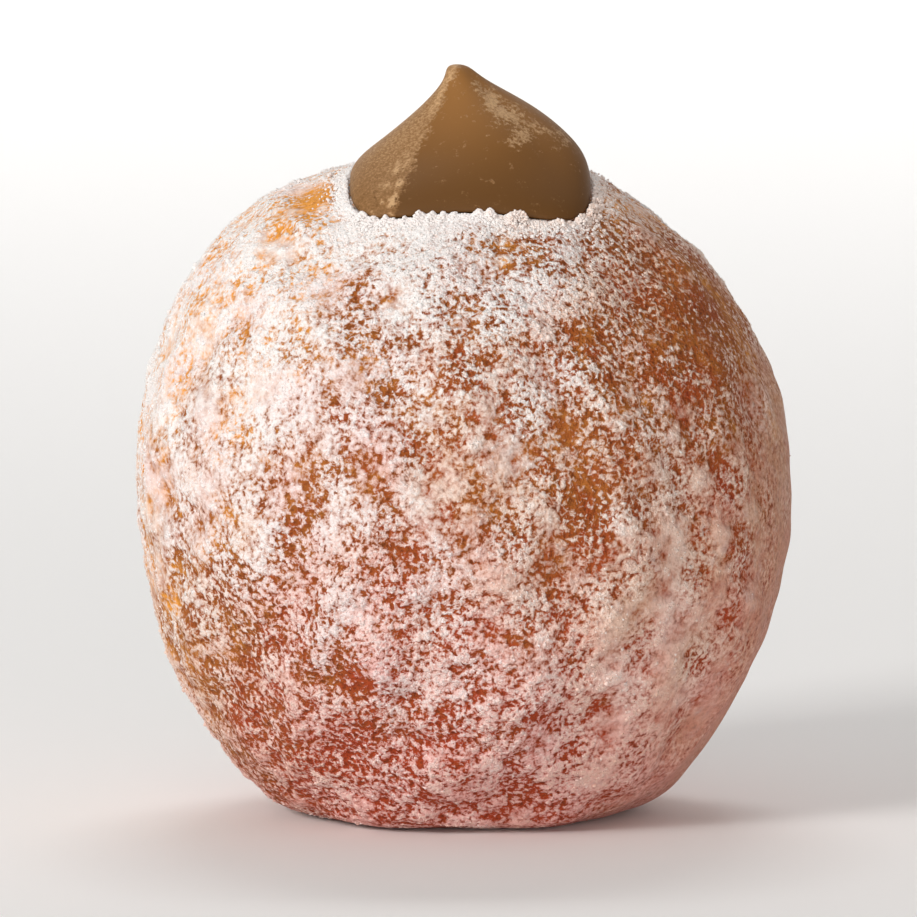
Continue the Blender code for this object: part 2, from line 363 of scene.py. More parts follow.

# Look of the crust
CRUST_STOPS = (  # browning, colour
    (0.0, (0.84, 0.34, 0.045, 1.0)),
    (0.3, (0.42, 0.135, 0.022, 1.0)),
    (0.5, (0.345, 0.086, 0.013, 1.0)),
    (1.0, (0.38, 0.047, 0.010, 1.0)),
)
CRUST_NOISE = (0.9, 4.0, 0.6)  # length, detail, roughness of its mottling
CRUST_MOTTLE = 0.9
CRUST_ROUGHNESS = 0.85
CRUST_SPECULAR = 0.3
CRUST_BUMP = (0.15, 0.9)  # depth, strength
CAKE_NOISE = (0.8, 2.0, 0.5)  # soft lumps of caked sugar, in the relief alone
CAKE_SHARE = 3.0
PIT_PAINTED_SHADE = (0.10, 0.020, 0.006, 1.0)  # painted shade at the bottom of the gaps in the sugar
PIT_SHARE = 0.6
PIT_RANGE = (-0.75, -0.15)  # of the network, from the deepest gaps to none
PIT_BROWN = (0.1, 0.5)  # of the crust's browning, from none to all

# Look of the sugar
FILM_STOPS = ((0.20, 0.0), (0.40, 0.42), (0.60, 0.80), (0.90, 1.0))  # level, opacity
SUGAR_STOPS = (  # tint, colour
    (0.0, (0.925, 0.90, 0.885, 1.0)),
    (0.5, (0.86, 0.68, 0.58, 1.0)),
    (1.0, (0.70, 0.44, 0.31, 1.0)),
)
SOAK = 0.55  # how much more fat tints it where it is thinner
SOAK_LEVEL = 0.85  # than at this level
# pink of the sugar toward the bottom, partly painted pink bounce light
BLUSH = (0.90, 0.52, 0.49, 1.0)
BLUSH_SHARE = 0.85
THICK_BLUSH_LOSS = 0.45  # how much less of that where it is thick
THICK_LEVELS = (0.65, 1.1)  # level of the sugar
SUGAR_PAINTED_SHADE = (0.62, 0.44, 0.40, 1.0)  # painted soft shade of lumpy sugar, in random spots
SUGAR_PAINTED_SHADE_SHARE = 0.6
SUGAR_PAINTED_SHADE_NOISE = (1.1, 3.0, 0.6)
SUGAR_PAINTED_SHADE_RANGE = (0.45, 0.75)  # of that noise
SUGAR_ROUGHNESS = 0.9

# Look of the cream
CREAM_STOPS = (  # lightness, colour of the smooth cream; the lightness is painted shade low down and painted light higher up
    (0.0, (0.130, 0.055, 0.0115, 1.0)),
    (0.5, (0.200, 0.085, 0.0170, 1.0)),
    (1.0, (0.28, 0.124, 0.030, 1.0)),
)
PAINTED_HIGHLIGHT_STOPS = (  # paleness, colour of the cream's painted highlights
    (0.0, (0.17, 0.076, 0.020, 1.0)),
    (0.4, (0.29, 0.148, 0.054, 1.0)),
    (0.8, (0.58, 0.36, 0.18, 1.0)),
)
SPECKLE_NOISE = (0.38, 4.0, 0.65)  # breaks up the edges of the painted highlights
SPECKLE_CONTRAST = 2.6
PAINTED_HIGHLIGHT_RANGE = (0.32, 0.74)  # of the painted highlight share with that noise
PALE_NOISE = (0.22, 3.0, 0.6)  # fine mottling of the painted highlights
PALE_MOTTLE = 1.10
PALE_START = -0.20
PALE_SHARE = 0.50
CREAM_ROUGHNESS = 0.6
CREAM_SPECULAR = 0.25
CREAM_BUMP = (0.05, 0.6)  # depth, strength

# Camera
CAMERA_ELEVATION = 7.0
CAMERA_DISTANCE = 900.0
CAMERA_AIM = (-0.5, 0.0, 30.6)
CAMERA_SENSOR = 36.0
CAMERA_REACH = 10000.0
FRAME_WIDTH = 78.6  # width of the view at the ball's middle

# Floor and light
FLOOR_FRONT = -1200.0
FLOOR_BACK = 1000.0
FLOOR_BEND = 500.0  # radius of the curve behind the flat stretch
FLOOR_BEND_STEPS = 12
FLOOR_TOP = 1800.0
FLOOR_HALF_WIDTH = 1800.0
FLOOR_COLOUR = (0.90, 0.89, 0.88, 1.0)
FLOOR_ROUGHNESS = 0.9
LAMPS = (  # name, place, aim, size, power, colour
    ("key", (-660.0, -580.0, 420.0), (0.0, 0.0, 30.0), 300.0, 5.4, (0.98, 0.97, 0.95)),
    ("fill", (100.0, -900.0, 40.0), (0.0, 0.0, 30.0), 500.0, 3.8, (1.0, 0.90, 0.86)),
    ("backdrop", (0.0, 750.0, 1200.0), (0.0, 1500.0, 300.0), 600.0, 12.0, (1.0, 1.0, 1.0)),
)
SKY_COLOUR = (0.99, 0.98, 0.97, 1.0)
SKY_STRENGTH = 0.32


def smooth_step(values, start, end):
    """Rise smoothly from 0 at start to 1 at end."""
    share = np.clip((values - start) / (end - start), 0.0, 1.0)
    return share * share * (3.0 - 2.0 * share)


def gain(values, amount, start, end):
    """Rise smoothly from 0 at start to the amount at end."""
    return amount * smooth_step(values, start, end)


def fade(values, amount, start, end):
    """Fall smoothly from 1 at start, by the amount at end."""
    return 1.0 - amount * smooth_step(values, start, end)


def hump(values, middle, width):
    """1 at the middle, falling off softly to either side."""
    return np.exp(-((values - middle) / width) ** 2)


def lumps(points, length, seed, waves=24):
    """Smooth lumps of about unit height and one wavelength, from plane waves with seeded headings."""
    rng = np.random.default_rng(seed)
    headings = rng.normal(size=(waves, 3))
    headings /= np.linalg.norm(headings, axis=1, keepdims=True)
    phases = rng.uniform(0.0, 2.0 * np.pi, waves)
    angles = points @ headings.T * (2.0 * np.pi / length) + phases
    return np.sin(angles).sum(axis=1) * np.sqrt(2.0 / waves)


def layered_lumps(points, layers):
    """Sum of lumps; each layer is wavelength, height and seed."""
    return sum(height * lumps(points, length, seed) for length, height, seed in layers)


def lean(height):
    """Sideways shift of the crown at a height."""
    return CROWN_LEAN * smooth_step(height, LEAN_START, BALL_HEIGHT)


def crown(x, y):
    """Height of the smooth crown above a plan point."""
    span = (2.0 * (x - CROWN_LEAN) / BALL_WIDTH) ** 2 + (2.0 * y / BALL_DEPTH) ** 2
    rise = np.clip(1.0 - span ** (CROWN_ROUNDING / 2.0), 0.0, 1.0) ** (1.0 / CROWN_ROUNDING)
    return EQUATOR_HEIGHT + (BALL_HEIGHT - EQUATOR_HEIGHT) * rise


def rim_squareness(toward_far_side):
    """How square the rim's plan is on either side of the hole's middle."""
    shown_side, far_side = HOLE_SQUARENESS
    return np.where(toward_far_side < 0.0, shown_side, far_side)


def rim_reach(cosine, sine):
    """How far the squarish rim reaches in a direction in which a round one reaches 1."""
    squareness = rim_squareness(sine)
    return (np.abs(cosine) ** squareness + np.abs(sine) ** squareness) ** (-1.0 / squareness)


def hole_share(x, y):
    """0 at the middle of the filling hole, 1 on its rim."""
    across = np.abs(x - HOLE_X) / HOLE_HALF_WIDTH
    along = np.abs(y - HOLE_Y) / HOLE_HALF_DEPTH
    squareness = rim_squareness(y - HOLE_Y)
    return (across ** squareness + along ** squareness) ** (1.0 / squareness)


def dent(x, y):
    """Vertical offset of the crown where it is pushed in around the filling hole."""
    tilt_x, tilt_y = DENT_TILT
    across = np.clip((x - HOLE_X) / HOLE_HALF_WIDTH, -1.0, 1.0)
    along = np.clip((y - HOLE_Y) / HOLE_HALF_DEPTH, -1.0, 1.0)
    depth = np.clip(DENT_DEPTH + tilt_x * across + tilt_y * along, 0.0, None)
    return depth * (smooth_step(hole_share(x, y), 1.0, DENT_SHARE) - 1.0)


def hole_offset(x, y):
    """Vertical offset of the crust in and around the filling hole."""
    share = hole_share(x, y)
    bowl = HOLE_SINK * (smooth_step(share, WALL_START, 1.0) - 1.0)
    lip = LIP_HEIGHT * np.exp(-((share - 1.0 - LIP_WIDTH) / LIP_WIDTH) ** 2)
    return bowl + dent(x, y) + lip


def crease(points):
    """A fold in the shown face: a ridge with a groove along its left side."""
    top_x, top_z = CREASE_TOP
    foot_x, foot_z = CREASE_FOOT
    slope = (top_x - foot_x) / (top_z - foot_z)
    aside = (points[:, 0] - foot_x - slope * (points[:, 2] - foot_z)) / CREASE_WIDTH
    length = top_z - foot_z
    middle = (top_z + foot_z) / 2.0
    strength = np.exp(-((points[:, 2] - middle) / (CREASE_FADE * length)) ** 4) * (points[:, 1] < 0.0)
    return CREASE_HEIGHT * (aside + CREASE_OFFSET) * np.exp(-(aside ** 2)) * strength


def crust_points(headings):
    """Points of the crust, in millimetres, in the directions seen from the ball's middle."""
    half_width = BALL_WIDTH / 2.0
    half_depth = BALL_DEPTH / 2.0
    upward = headings[:, 2] > 0.0
    half_height = np.where(upward, BALL_HEIGHT - EQUATOR_HEIGHT, BELLY_DROP)
    rounding = np.where(upward, CROWN_ROUNDING, BELLY_ROUNDING)
    span = (headings[:, 0] / half_width) ** 2 + (headings[:, 1] / half_depth) ** 2
    climb = np.abs(headings[:, 2]) / half_height
    reach = (span ** (rounding / 2.0) + climb ** rounding) ** (-1.0 / rounding)
    points = headings * reach[:, None]
    depth_share = np.clip(-points[:, 2] / BELLY_DROP, 0.0, 1.0)
    points[:, 1] *= 1.0 - FOOT_TUCK * depth_share ** 4
    points[:, 2] += EQUATOR_HEIGHT

    faces = smooth_step(np.abs(points[:, 1]), BELT_HALF_WIDTH, BELT_HALF_WIDTH + BELT_EDGE)
    relief = FACE_RISE * (faces - 1.0) + crease(points)
    for seed, (length, height) in enumerate(zip(LUMP_LENGTHS, LUMP_HEIGHTS)):
        relief += height * (BELT_ROUGHNESS + (1.0 - BELT_ROUGHNESS) * faces) * lumps(points, length, seed)
    calm = smooth_step(hole_share(points[:, 0] + lean(points[:, 2]), points[:, 1]), *CALM_SHARES)
    calm = np.where(upward, calm, 1.0)
    points += headings * (relief * calm)[:, None]

    points[:, 0] += lean(points[:, 2])
    points[:, 2] += np.where(upward, hole_offset(points[:, 0], points[:, 1]), 0.0)
    edge = np.clip(points[:, 2] + FOOT_EDGE, 0.0, 2.0 * FOOT_EDGE)
    points[:, 2] = np.where(points[:, 2] > FOOT_EDGE, points[:, 2], edge ** 2 / (4.0 * FOOT_EDGE))
    return points


def cream_points(headings):
    """Points of the dollop: a tapering cap above its widest ring and a seat that fills the hole."""
    azimuth = np.arctan2(headings[:, 1], headings[:, 0])
    cosine = np.cos(azimuth)
    sine = np.sin(azimuth)
    squared = rim_reach(cosine, sine)
    polar = np.arccos(np.clip(headings[:, 2], -1.0, 1.0)) / (np.pi / 2.0)
    above = polar < 1.0
    climb = np.where(above, np.sin((1.0 - polar) * np.pi / 2.0), 0.0)

    taper = np.clip(1.0 - climb ** CREAM_BULGE, 0.0, 1.0) ** CREAM_TAPER
    tip = TIP_SHARE * np.sqrt(np.clip(1.0 - climb ** TIP_SHARPNESS, 0.0, 1.0)) * climb
    cap = np.hypot(taper, tip)
    seat = np.clip(2.0 - polar, 0.0, 1.0)
    share = CREAM_FILL * np.where(above, cap, seat)
    roundness = smooth_step(climb, 0.0, ROUND_CLIMB)
    share *= squared * (1.0 - roundness) + roundness
    share *= 1.0 + SWIRL_DEPTH * roundness * np.cos(SWIRL_LOBES * azimuth + SWIRL_TURN * climb)
    x = HOLE_X + HOLE_HALF_WIDTH * share * cosine
    y = HOLE_Y + HOLE_HALF_DEPTH * share * sine

    ring_x = HOLE_X + HOLE_HALF_WIDTH * CREAM_FILL * squared * cosine
    ring_y = HOLE_Y + HOLE_HALF_DEPTH * CREAM_FILL * squared * sine
    ring = crown(ring_x, ring_y) + dent(ring_x, ring_y) + CREAM_RING_RISE
    floor = crown(x, y) + hole_offset(x, y) + CREAM_GAP
    overhang = smooth_step(share / (CREAM_FILL * squared), SEAT_EDGE, 1.0)
    z = np.where(above, ring + (CREAM_TOP - ring) * climb, floor + (ring - floor) * overhang)

    x += SHOULDER_SHIFT * np.sin(np.pi * climb) ** 2 + TIP_SHIFT * climb ** 4
    y += TIP_SETBACK * climb
    return np.column_stack((x, y, z))


def box_fit(points):
    """The fit of the shaped ball onto the solid's box: a scale and the middle to take off first."""
    low, high = (np.array(corner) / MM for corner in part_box("doughnut"))
    own_low = points.min(axis=0)
    own_high = points.max(axis=0)
    scale = (high - low) / (own_high - own_low)
    scale[2] = 1.0
    middle = (own_low + own_high) / 2.0 - (low + high) / 2.0
    middle[2] = 0.0
    return scale, middle


def fitted(points, fit):
    """Shaped points, brought onto the solid."""
    scale, middle = fit
    return (points - middle) * scale


def unfitted(places, fit):
    """Places on the solid, taken back to where they were shaped."""
    scale, middle = fit
    return places / scale + middle


def cube_sphere(cells):
    """A cube's mesh of even square cells, its vertices' directions as on a sphere, and their places."""
    mesh = bpy.data.meshes.new("crust")
    ball = bmesh.new()
    bmesh.ops.create_cube(ball, size=2.0)
    bmesh.ops.subdivide_edges(ball, edges=ball.edges[:], cuts=cells - 1, use_grid_fill=True)
    ball.to_mesh(mesh)
    ball.free()
    cube = read_points(mesh)
    evened = np.tan(cube * np.pi / 4.0)
    return mesh, evened / np.linalg.norm(evened, axis=1, keepdims=True), cube


def read_points(mesh):
    """The mesh's vertices as an array."""
    points = np.empty(3 * len(mesh.vertices), dtype=np.float32)
    mesh.vertices.foreach_get("co", points)
    return points.reshape(-1, 3).astype(np.float64)


def write_points(mesh, points):
    """Place the mesh's vertices at the points, given in millimetres."""
    mesh.vertices.foreach_set("co", (points * MM).ravel())
    mesh.update()


def vertex_normals(mesh):
    """The mesh's smooth normals as an array."""
    normals = np.empty(3 * len(mesh.vertices), dtype=np.float32)
    mesh.vertex_normals.foreach_get("vector", normals)
    return normals.reshape(-1, 3).astype(np.float64)


def store(mesh, name, values):
    """Keep one number for each vertex, for the material to read."""
    attribute = mesh.attributes.new(name, "FLOAT", "POINT")
    attribute.data.foreach_set("value", values.astype(np.float32))


def store_map(mesh, places):
    """Keep a place on the map for each face corner."""
    layer = mesh.uv_layers.new(name="OFBake")
    layer.uv.foreach_set("vector", places.astype(np.float32).ravel())


def add_piece(name, mesh, material, replaces=None):
    """Link a piece that moves with the doughnut."""
    mesh.materials.append(material)
    piece = bpy.data.objects.new(name, mesh)
    bpy.context.scene.collection.objects.link(piece)
    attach(piece, "root")
    if replaces:
        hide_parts(replaces)


def height_share(points):
    """0 at the equator, -1 on the floor."""
    return (points[:, 2] - EQUATOR_HEIGHT) / EQUATOR_HEIGHT


def side_share(points):
    """-1 at the left edge of the ball, 1 at the right one."""
    return points[:, 0] / (BALL_WIDTH / 2.0)


def seen_height(points):
    """Height in the view at the photograph's angle."""
    elevation = np.radians(CAMERA_ELEVATION)
    return points[:, 2] * np.cos(elevation) + points[:, 1] * np.sin(elevation)


def patches_at(x, height, patches):
    """Sum of soft round patches; each is x, height, half width, half height and strength."""
    total = np.zeros(len(x))
    for middle_x, middle_height, half_width, half_height, strength in patches:
        away = ((x - middle_x) / half_width) ** 2 + ((height - middle_height) / half_height) ** 2
        total += strength * np.exp(-away)
    return total


def on_shown_face(points, patches):
    """Sum of soft round patches on the shown face."""
    return smooth_step(points[:, 1], *SHOWN_FACE) * patches_at(points[:, 0], seen_height(points), patches)


def even_belt(points):
    """1 on the right side of the belt, where the film of sugar is thin and even."""
    belt = fade(np.abs(points[:, 1]), *EVEN_DEPTH_FADE) * fade(points[:, 2], *EVEN_HEIGHT_FADE)
    return belt * smooth_step(side_share(points), *EVEN_SIDES)


def sugar_cover(points):
    """How much of the crust the powdered sugar hides, from 0 to 1."""
    height = height_share(points)
    side = side_share(points)
    cover = COVER + COVER_UP * height + COVER_RIGHT * side + on_shown_face(points, SUGAR_PATCHES)
    below = points[:, 2] < EQUATOR_HEIGHT
    away_from_rim = hole_share(points[:, 0], points[:, 1]) + below
    caked = RIM_COVER * fade(points[:, 0], *RIM_RIGHT_FADE) * fade(points[:, 0], *RIM_LEFT_FADE)
    cover += caked * hump(away_from_rim, *RIM_BAND)
    rough = 1.0 + LOW_ROUGHNESS * smooth_step(height, *LOWER_PART) * fade(side, *LOW_ROUGHNESS_FADE)
    for length, size, seed in COVER_LUMPS:
        cover += rough * size * lumps(points, length, seed)
    even = even_belt(points)
    return np.clip(cover * (1.0 - even) + BELT_COVER * even, 0.0, 1.0)


def sugar_tint(points):
    """How tan the sugar is, from 0 to 1: fat from the crust, and toward the right partly painted shade.
    """
    height = height_share(points)
    side = side_share(points)
    tint = TINT + TINT_UP * np.maximum(height, TINT_LOWEST) + TINT_RIGHT * np.maximum(side, TINT_LEFTMOST)
    sides = gain(side, *LOW_LEFT_TINT_GAIN) + gain(side, *LOW_RIGHT_TINT_GAIN)
    tint += smooth_step(height, *LOW_TINT_HEIGHTS) * sides
    tint += gain(height, *FOOT_TINT_GAIN) + on_shown_face(points, TINT_PATCHES)
    return np.clip(tint + layered_lumps(points, TINT_LUMPS), 0.0, TINT_LIMIT)


def sugar_blush(points):
    """How pink the sugar looks toward the bottom, from 0 to 1: partly thin sugar over the darker lower
    crust, partly painted pink bounce light.
    """
    aside = np.abs(side_share(points) - BLUSH_MIDDLE)
    blush = smooth_step(height_share(points), *BLUSH_HEIGHTS) * fade(aside, *BLUSH_FADE)
    blush += on_shown_face(points, BLUSH_PATCHES)
    return np.clip(blush + layered_lumps(points, BLUSH_LUMPS), 0.0, 1.0)


def brownness(points):
    """How dark the crust is fried, from 0 on the pale belt to 1 at the bottom."""
    height = height_share(points)
    side = side_share(points)
    belt = fade(np.abs(points[:, 1]), *BELT_FADE)
    darker_down = np.where(height > 0.0, BROWN_UP * fade(side, *BROWN_UP_FADE), BROWN_DOWN)
    brown = BROWN - darker_down * height + BROWN_RIGHT * side - BELT_PALENESS * belt
    brown -= gain(side, *LOW_LEFT_PALE_GAIN) * smooth_step(height, *LOWER_PART)
    brown += on_shown_face(points, BROWN_PATCHES)
    brown += layered_lumps(points, BROWN_LUMPS)
    return np.clip(brown, 0.0, 1.0)


def network_share(points, cover):
    """How strongly the network shows: patchily on the fried faces, hardly on the belt."""
    strength = NETWORK_EVEN * (1.0 + layered_lumps(points, NETWORK_LUMPS))
    strength += on_shown_face(points, NETWORK_PATCHES)
    patchy = 1.0 + layered_lumps(points, FAR_LUMPS)
    far = gain(points[:, 1], *NETWORK_FAR_GAIN) * patchy
    strength += far + NETWORK_THIN * np.clip(THIN_COVER - cover, 0.0, THIN_LIMIT)
    return np.clip(strength, *NETWORK_LIMITS) * (1.0 - EVEN_CALM * even_belt(points))


def link_network(tree, where):
    """The sugar's fine network at a position: ridges above 0, pits below."""
    node = tree.nodes.new("ShaderNodeTexNoise")
    node.inputs["Scale"].default_value = 1.0 / (NETWORK_LENGTH * MM)
    node.inputs["Detail"].default_value = NETWORK_DETAIL
    node.inputs["Roughness"].default_value = NETWORK_ROUGHNESS
    node.inputs["Distortion"].default_value = NETWORK_WARP
    tree.links.new(where, node.inputs["Vector"])
    return link_math(tree, "MULTIPLY_ADD", node.outputs["Fac"], NETWORK_CONTRAST, -NETWORK_CONTRAST / 2.0)


def network_at(points):
    """The same network worked out at points, in millimetres, by geometry nodes on a passing mesh."""
    mesh = bpy.data.meshes.new("network")
    mesh.vertices.add(len(points))
    write_points(mesh, points)
    probe = bpy.data.objects.new("network", mesh)
    bpy.context.scene.collection.objects.link(probe)
    tree = bpy.data.node_groups.new("network", "GeometryNodeTree")
    tree.interface.new_socket("Geometry", in_out="INPUT", socket_type="NodeSocketGeometry")
    tree.interface.new_socket("Geometry", in_out="OUTPUT", socket_type="NodeSocketGeometry")
    source = tree.nodes.new("NodeGroupInput")
    result = tree.nodes.new("NodeGroupOutput")
    where = tree.nodes.new("GeometryNodeInputPosition")
    keep = tree.nodes.new("GeometryNodeStoreNamedAttribute")
    keep.inputs["Name"].default_value = "network"
    tree.links.new(source.outputs["Geometry"], keep.inputs["Geometry"])
    tree.links.new(link_network(tree, where.outputs["Position"]), keep.inputs["Value"])
    tree.links.new(keep.outputs["Geometry"], result.inputs["Geometry"])
    probe.modifiers.new("network", "NODES").node_group = tree
    worked_out = probe.evaluated_get(bpy.context.evaluated_depsgraph_get()).data
    values = np.empty(len(points), dtype=np.float32)
    worked_out.attributes["network"].data.foreach_get("value", values)
    bpy.data.objects.remove(probe)
    bpy.data.meshes.remove(mesh)
    bpy.data.node_groups.remove(tree)
    return values


def make_skin():
    """The crust with its crumbly layer of sugar, and its fit onto the solid."""
    mesh, headings, cube = cube_sphere(SKIN_CELLS)
    points = crust_points(headings)
    fit = box_fit(points)
    cover = sugar_cover(points)
    store(mesh, "sugar", cover)
    store(mesh, "tint", sugar_tint(points))
    store(mesh, "blush", sugar_blush(points))
    store(mesh, "brown", brownness(points))
    store(mesh, "network", network_share(points, cover))
    places = fitted(points, fit)
    write_points(mesh, places)
    thick = smooth_step(cover, *CAKE_COVERS) * smooth_step(points[:, 2], *CAKE_FOOT)
    rise = CAKE_HEIGHT * (thick - CAKE_MIDDLE)
    write_points(mesh, places + vertex_normals(mesh) * rise[:, None])
    mesh.shade_smooth()
    unwrap_cube(mesh, cube)
    return mesh, fit


def unwrap_cube(mesh, cube):
    """Lay the six sides of the cube out in two rows of three."""
    corners = np.empty(len(mesh.loops), dtype=np.int32)
    mesh.loops.foreach_get("vertex_index", corners)
    places = cube[corners].reshape(-1, 4, 3)
    centres = places.mean(axis=1)
    axis = np.abs(centres).argmax(axis=1)
    faces = np.arange(len(axis))
    patch = 2 * axis + (centres[faces, axis] > 0.0)
    across = places[faces, :, (axis + 1) % 3] * MAP_REACH + 0.5
    along = places[faces, :, (axis + 2) % 3] * MAP_REACH + 0.5
    u = (patch[:, None] % 3 + across) / 3.0
    v = (patch[:, None] // 3 + along) / 2.0
    store_map(mesh, np.stack((u, v), axis=2))


def spots_on(mesh, count, rng):
    """Places spread evenly over a mesh, in millimetres, with their normals."""
    mesh.calc_loop_triangles()
    corners = np.empty(3 * len(mesh.loop_triangles), dtype=np.int32)
    mesh.loop_triangles.foreach_get("vertices", corners)
    corners = corners.reshape(-1, 3)
    points = read_points(mesh) / MM
    normals = vertex_normals(mesh)
    first, second, third = (points[corners[:, i]] for i in range(3))
    area = np.linalg.norm(np.cross(second - first, third - first), axis=1)
    picks = np.searchsorted(np.cumsum(area) / area.sum(), rng.random(count))
    weights = rng.dirichlet((1.0, 1.0, 1.0), count)
    places = (points[corners[picks]] * weights[:, :, None]).sum(axis=1)
    facing = (normals[corners[picks]] * weights[:, :, None]).sum(axis=1)
    return places, facing / np.linalg.norm(facing, axis=1, keepdims=True)


def on_crust(places):
    """True where a place lies on the open crust and not under the cream or the foot."""
    outside = (hole_share(places[:, 0], places[:, 1]) > OPEN_SHARE) | (places[:, 2] < EQUATOR_HEIGHT)
    return outside & (places[:, 2] > FOOT_CLEARANCE)


def frames_at(facing, rng):
    """Two directions across each normal, turned at random."""
    side = np.cross(facing, rng.normal(size=facing.shape))
    side /= np.linalg.norm(side, axis=1, keepdims=True)
    return side, np.cross(facing, side)


def varied(sizes, rng, spread, smallest, largest):
    """Sizes that vary at random, between limits given in shares of each size."""
    return sizes * np.clip(np.exp(rng.normal(0.0, spread, len(sizes))), smallest, largest)


def joined_mesh(name, points, faces, tint, blush):
    """One mesh of equal closed bodies, with a cell of the map, a tint and a blush for each body."""
    count, per_body = points.shape[:2]
    corners = (np.arange(count)[:, None, None] * per_body + faces[None]).astype(np.int32)
    mesh = bpy.data.meshes.new(name)
    mesh.vertices.add(count * per_body)
    mesh.loops.add(corners.size)
    mesh.polygons.add(corners.size // 3)
    mesh.loops.foreach_set("vertex_index", corners.ravel())
    mesh.polygons.foreach_set("loop_start", np.arange(0, corners.size, 3, dtype=np.int32))
    write_points(mesh, points.reshape(-1, 3))
    store(mesh, "tint", np.repeat(tint, per_body))
    store(mesh, "blush", np.repeat(blush, per_body))
    cells = int(np.ceil(np.sqrt(count)))
    places = np.stack((np.arange(count) % cells, np.arange(count) // cells), axis=1) + 0.5
    spots = (places[:, None, None, :] + np.array(MAP_TRIANGLE)[None, None]) / cells
    store_map(mesh, np.broadcast_to(spots, (count, len(faces), 3, 2)))
    return mesh


def make_grains(skin, fit, name, size, count, seed):
    """Scatter little three-sided heaps where the sugar is thick enough to hold them."""
    rng = np.random.default_rng(seed)
    places, facing = spots_on(skin, GRAIN_TRIES * count, rng)
    shaped = unfitted(places, fit)
    cover = sugar_cover(shaped)
    level = cover + network_share(shaped, cover) * network_at(places)
    chance = smooth_step(level, *GRAIN_LEVELS) * (1.0 - EVEN_CALM * even_belt(shaped))
    keep = (chance > rng.random(len(places))) & on_crust(shaped)
    places, facing, shaped = (values[keep][:count] for values in (places, facing, shaped))
    kept = len(places)
    sizes = varied(np.full(kept, size), rng, *GRAIN_SIZES)
    side, ahead = frames_at(facing, rng)
    corners = []
    for i in range(3):
        turn = 2.0 * np.pi * i / 3.0 + rng.uniform(*GRAIN_TURN, kept)
        reach = sizes * rng.uniform(*GRAIN_REACH, kept)
        spoke = side * np.cos(turn)[:, None] + ahead * np.sin(turn)[:, None]
        rise = sizes * rng.uniform(*GRAIN_FOOT, kept)
        corners.append(places + spoke * reach[:, None] + facing * rise[:, None])
    slide = side * rng.uniform(*GRAIN_SLIDE, (kept, 1)) + ahead * rng.uniform(*GRAIN_SLIDE, (kept, 1))
    peak = sizes * rng.uniform(*GRAIN_PEAK, kept)
    corners.append(places + slide * sizes[:, None] + facing * peak[:, None])
    faces = np.array([(0, 1, 3), (1, 2, 3), (2, 0, 3), (0, 2, 1)])
    tint = sugar_tint(shaped) + GRAIN_TINT + rng.normal(0.0, GRAIN_TINT_SPREAD, kept)
    return joined_mesh(name, np.stack(corners, axis=1), faces, tint, sugar_blush(shaped))


def rim_places(count, rng):
    """Places along the rim of the filling hole, heaped into a ragged edge, with upright normals."""
    angle = rng.normal(*RIM_ANGLES, count)
    share = 1.0 + rng.exponential(RIM_OUTWARD, count) - RIM_INWARD
    cosine = np.cos(angle)
    sine = np.sin(angle)
    squared = rim_reach(cosine, sine)
    x = HOLE_X + HOLE_HALF_WIDTH * share * squared * cosine
    y = HOLE_Y + HOLE_HALF_DEPTH * share * squared * sine
    around = np.column_stack((HOLE_HALF_WIDTH * cosine, HOLE_HALF_DEPTH * sine, np.zeros(count)))
    peak = RIM_PEAK + gain(x, *RIM_PEAK_GAIN)
    peak += layered_lumps(around, RIM_PEAK_LUMPS)
    ridge = np.clip(RIM_RIDGE - RIM_RIDGE_SLOPE * np.abs(share - 1.0), 0.0, 1.0)
    heap = np.clip(peak, *RIM_PEAK_LIMITS) * ridge
    heap *= np.exp(-((angle - RIM_HEAP_ANGLE) / RIM_HEAP_SPAN) ** 4) * fade(x, *RIM_HEAP_FADE)
    z = crown(x, y) + hole_offset(x, y) + heap * rng.random(count) ** RIM_FILL
    facing = np.column_stack((x - HOLE_X, y - HOLE_Y, np.full(count, RIM_STEEPNESS)))
    return np.column_stack((x, y, z)), facing / np.linalg.norm(facing, axis=1, keepdims=True)


def make_clumps(skin, fit):
    """Rough lumps of caked sugar: a ragged row along the rim and some on the thick patches."""
    rng = np.random.default_rng(CLUMP_SEED)
    ring, ring_facing = rim_places(RIM_CLUMPS, rng)
    ring = fitted(ring, fit)
    spread, spread_facing = spots_on(skin, CLUMP_TRIES * CLUMPS, rng)
    shaped = unfitted(spread, fit)
    thick = (sugar_cover(shaped) > CLUMP_COVER) & on_crust(shaped)
    spread, spread_facing = (values[thick][:CLUMPS] for values in (spread, spread_facing))
    places = np.concatenate((ring, spread))
    facing = np.concatenate((ring_facing, spread_facing))
    sizes = np.repeat((RIM_CLUMP_SIZE, CLUMP_SIZE), (len(ring), len(spread)))
    sizes = varied(sizes, rng, *CLUMP_SIZES)
    body = bmesh.new()
    bmesh.ops.create_icosphere(body, subdivisions=1, radius=1.0)
    shape = np.array([vertex.co[:] for vertex in body.verts])
    faces = np.array([[vertex.index for vertex in face.verts] for face in body.faces])
    body.free()
    side, ahead = frames_at(facing, rng)
    rough = rng.uniform(*CLUMP_ROUGHNESS, (len(places), len(shape), 1))
    local = shape[None] * rough * sizes[:, None, None]
    points = (places[:, None, :] + local[:, :, 0:1] * side[:, None, :]
              + local[:, :, 1:2] * ahead[:, None, :] + local[:, :, 2:3] * facing[:, None, :])
    tint = sugar_tint(places) + rng.normal(0.0, CLUMP_TINT_SPREAD, len(places))
    return joined_mesh("sugar_clumps", points, faces, tint, sugar_blush(places))


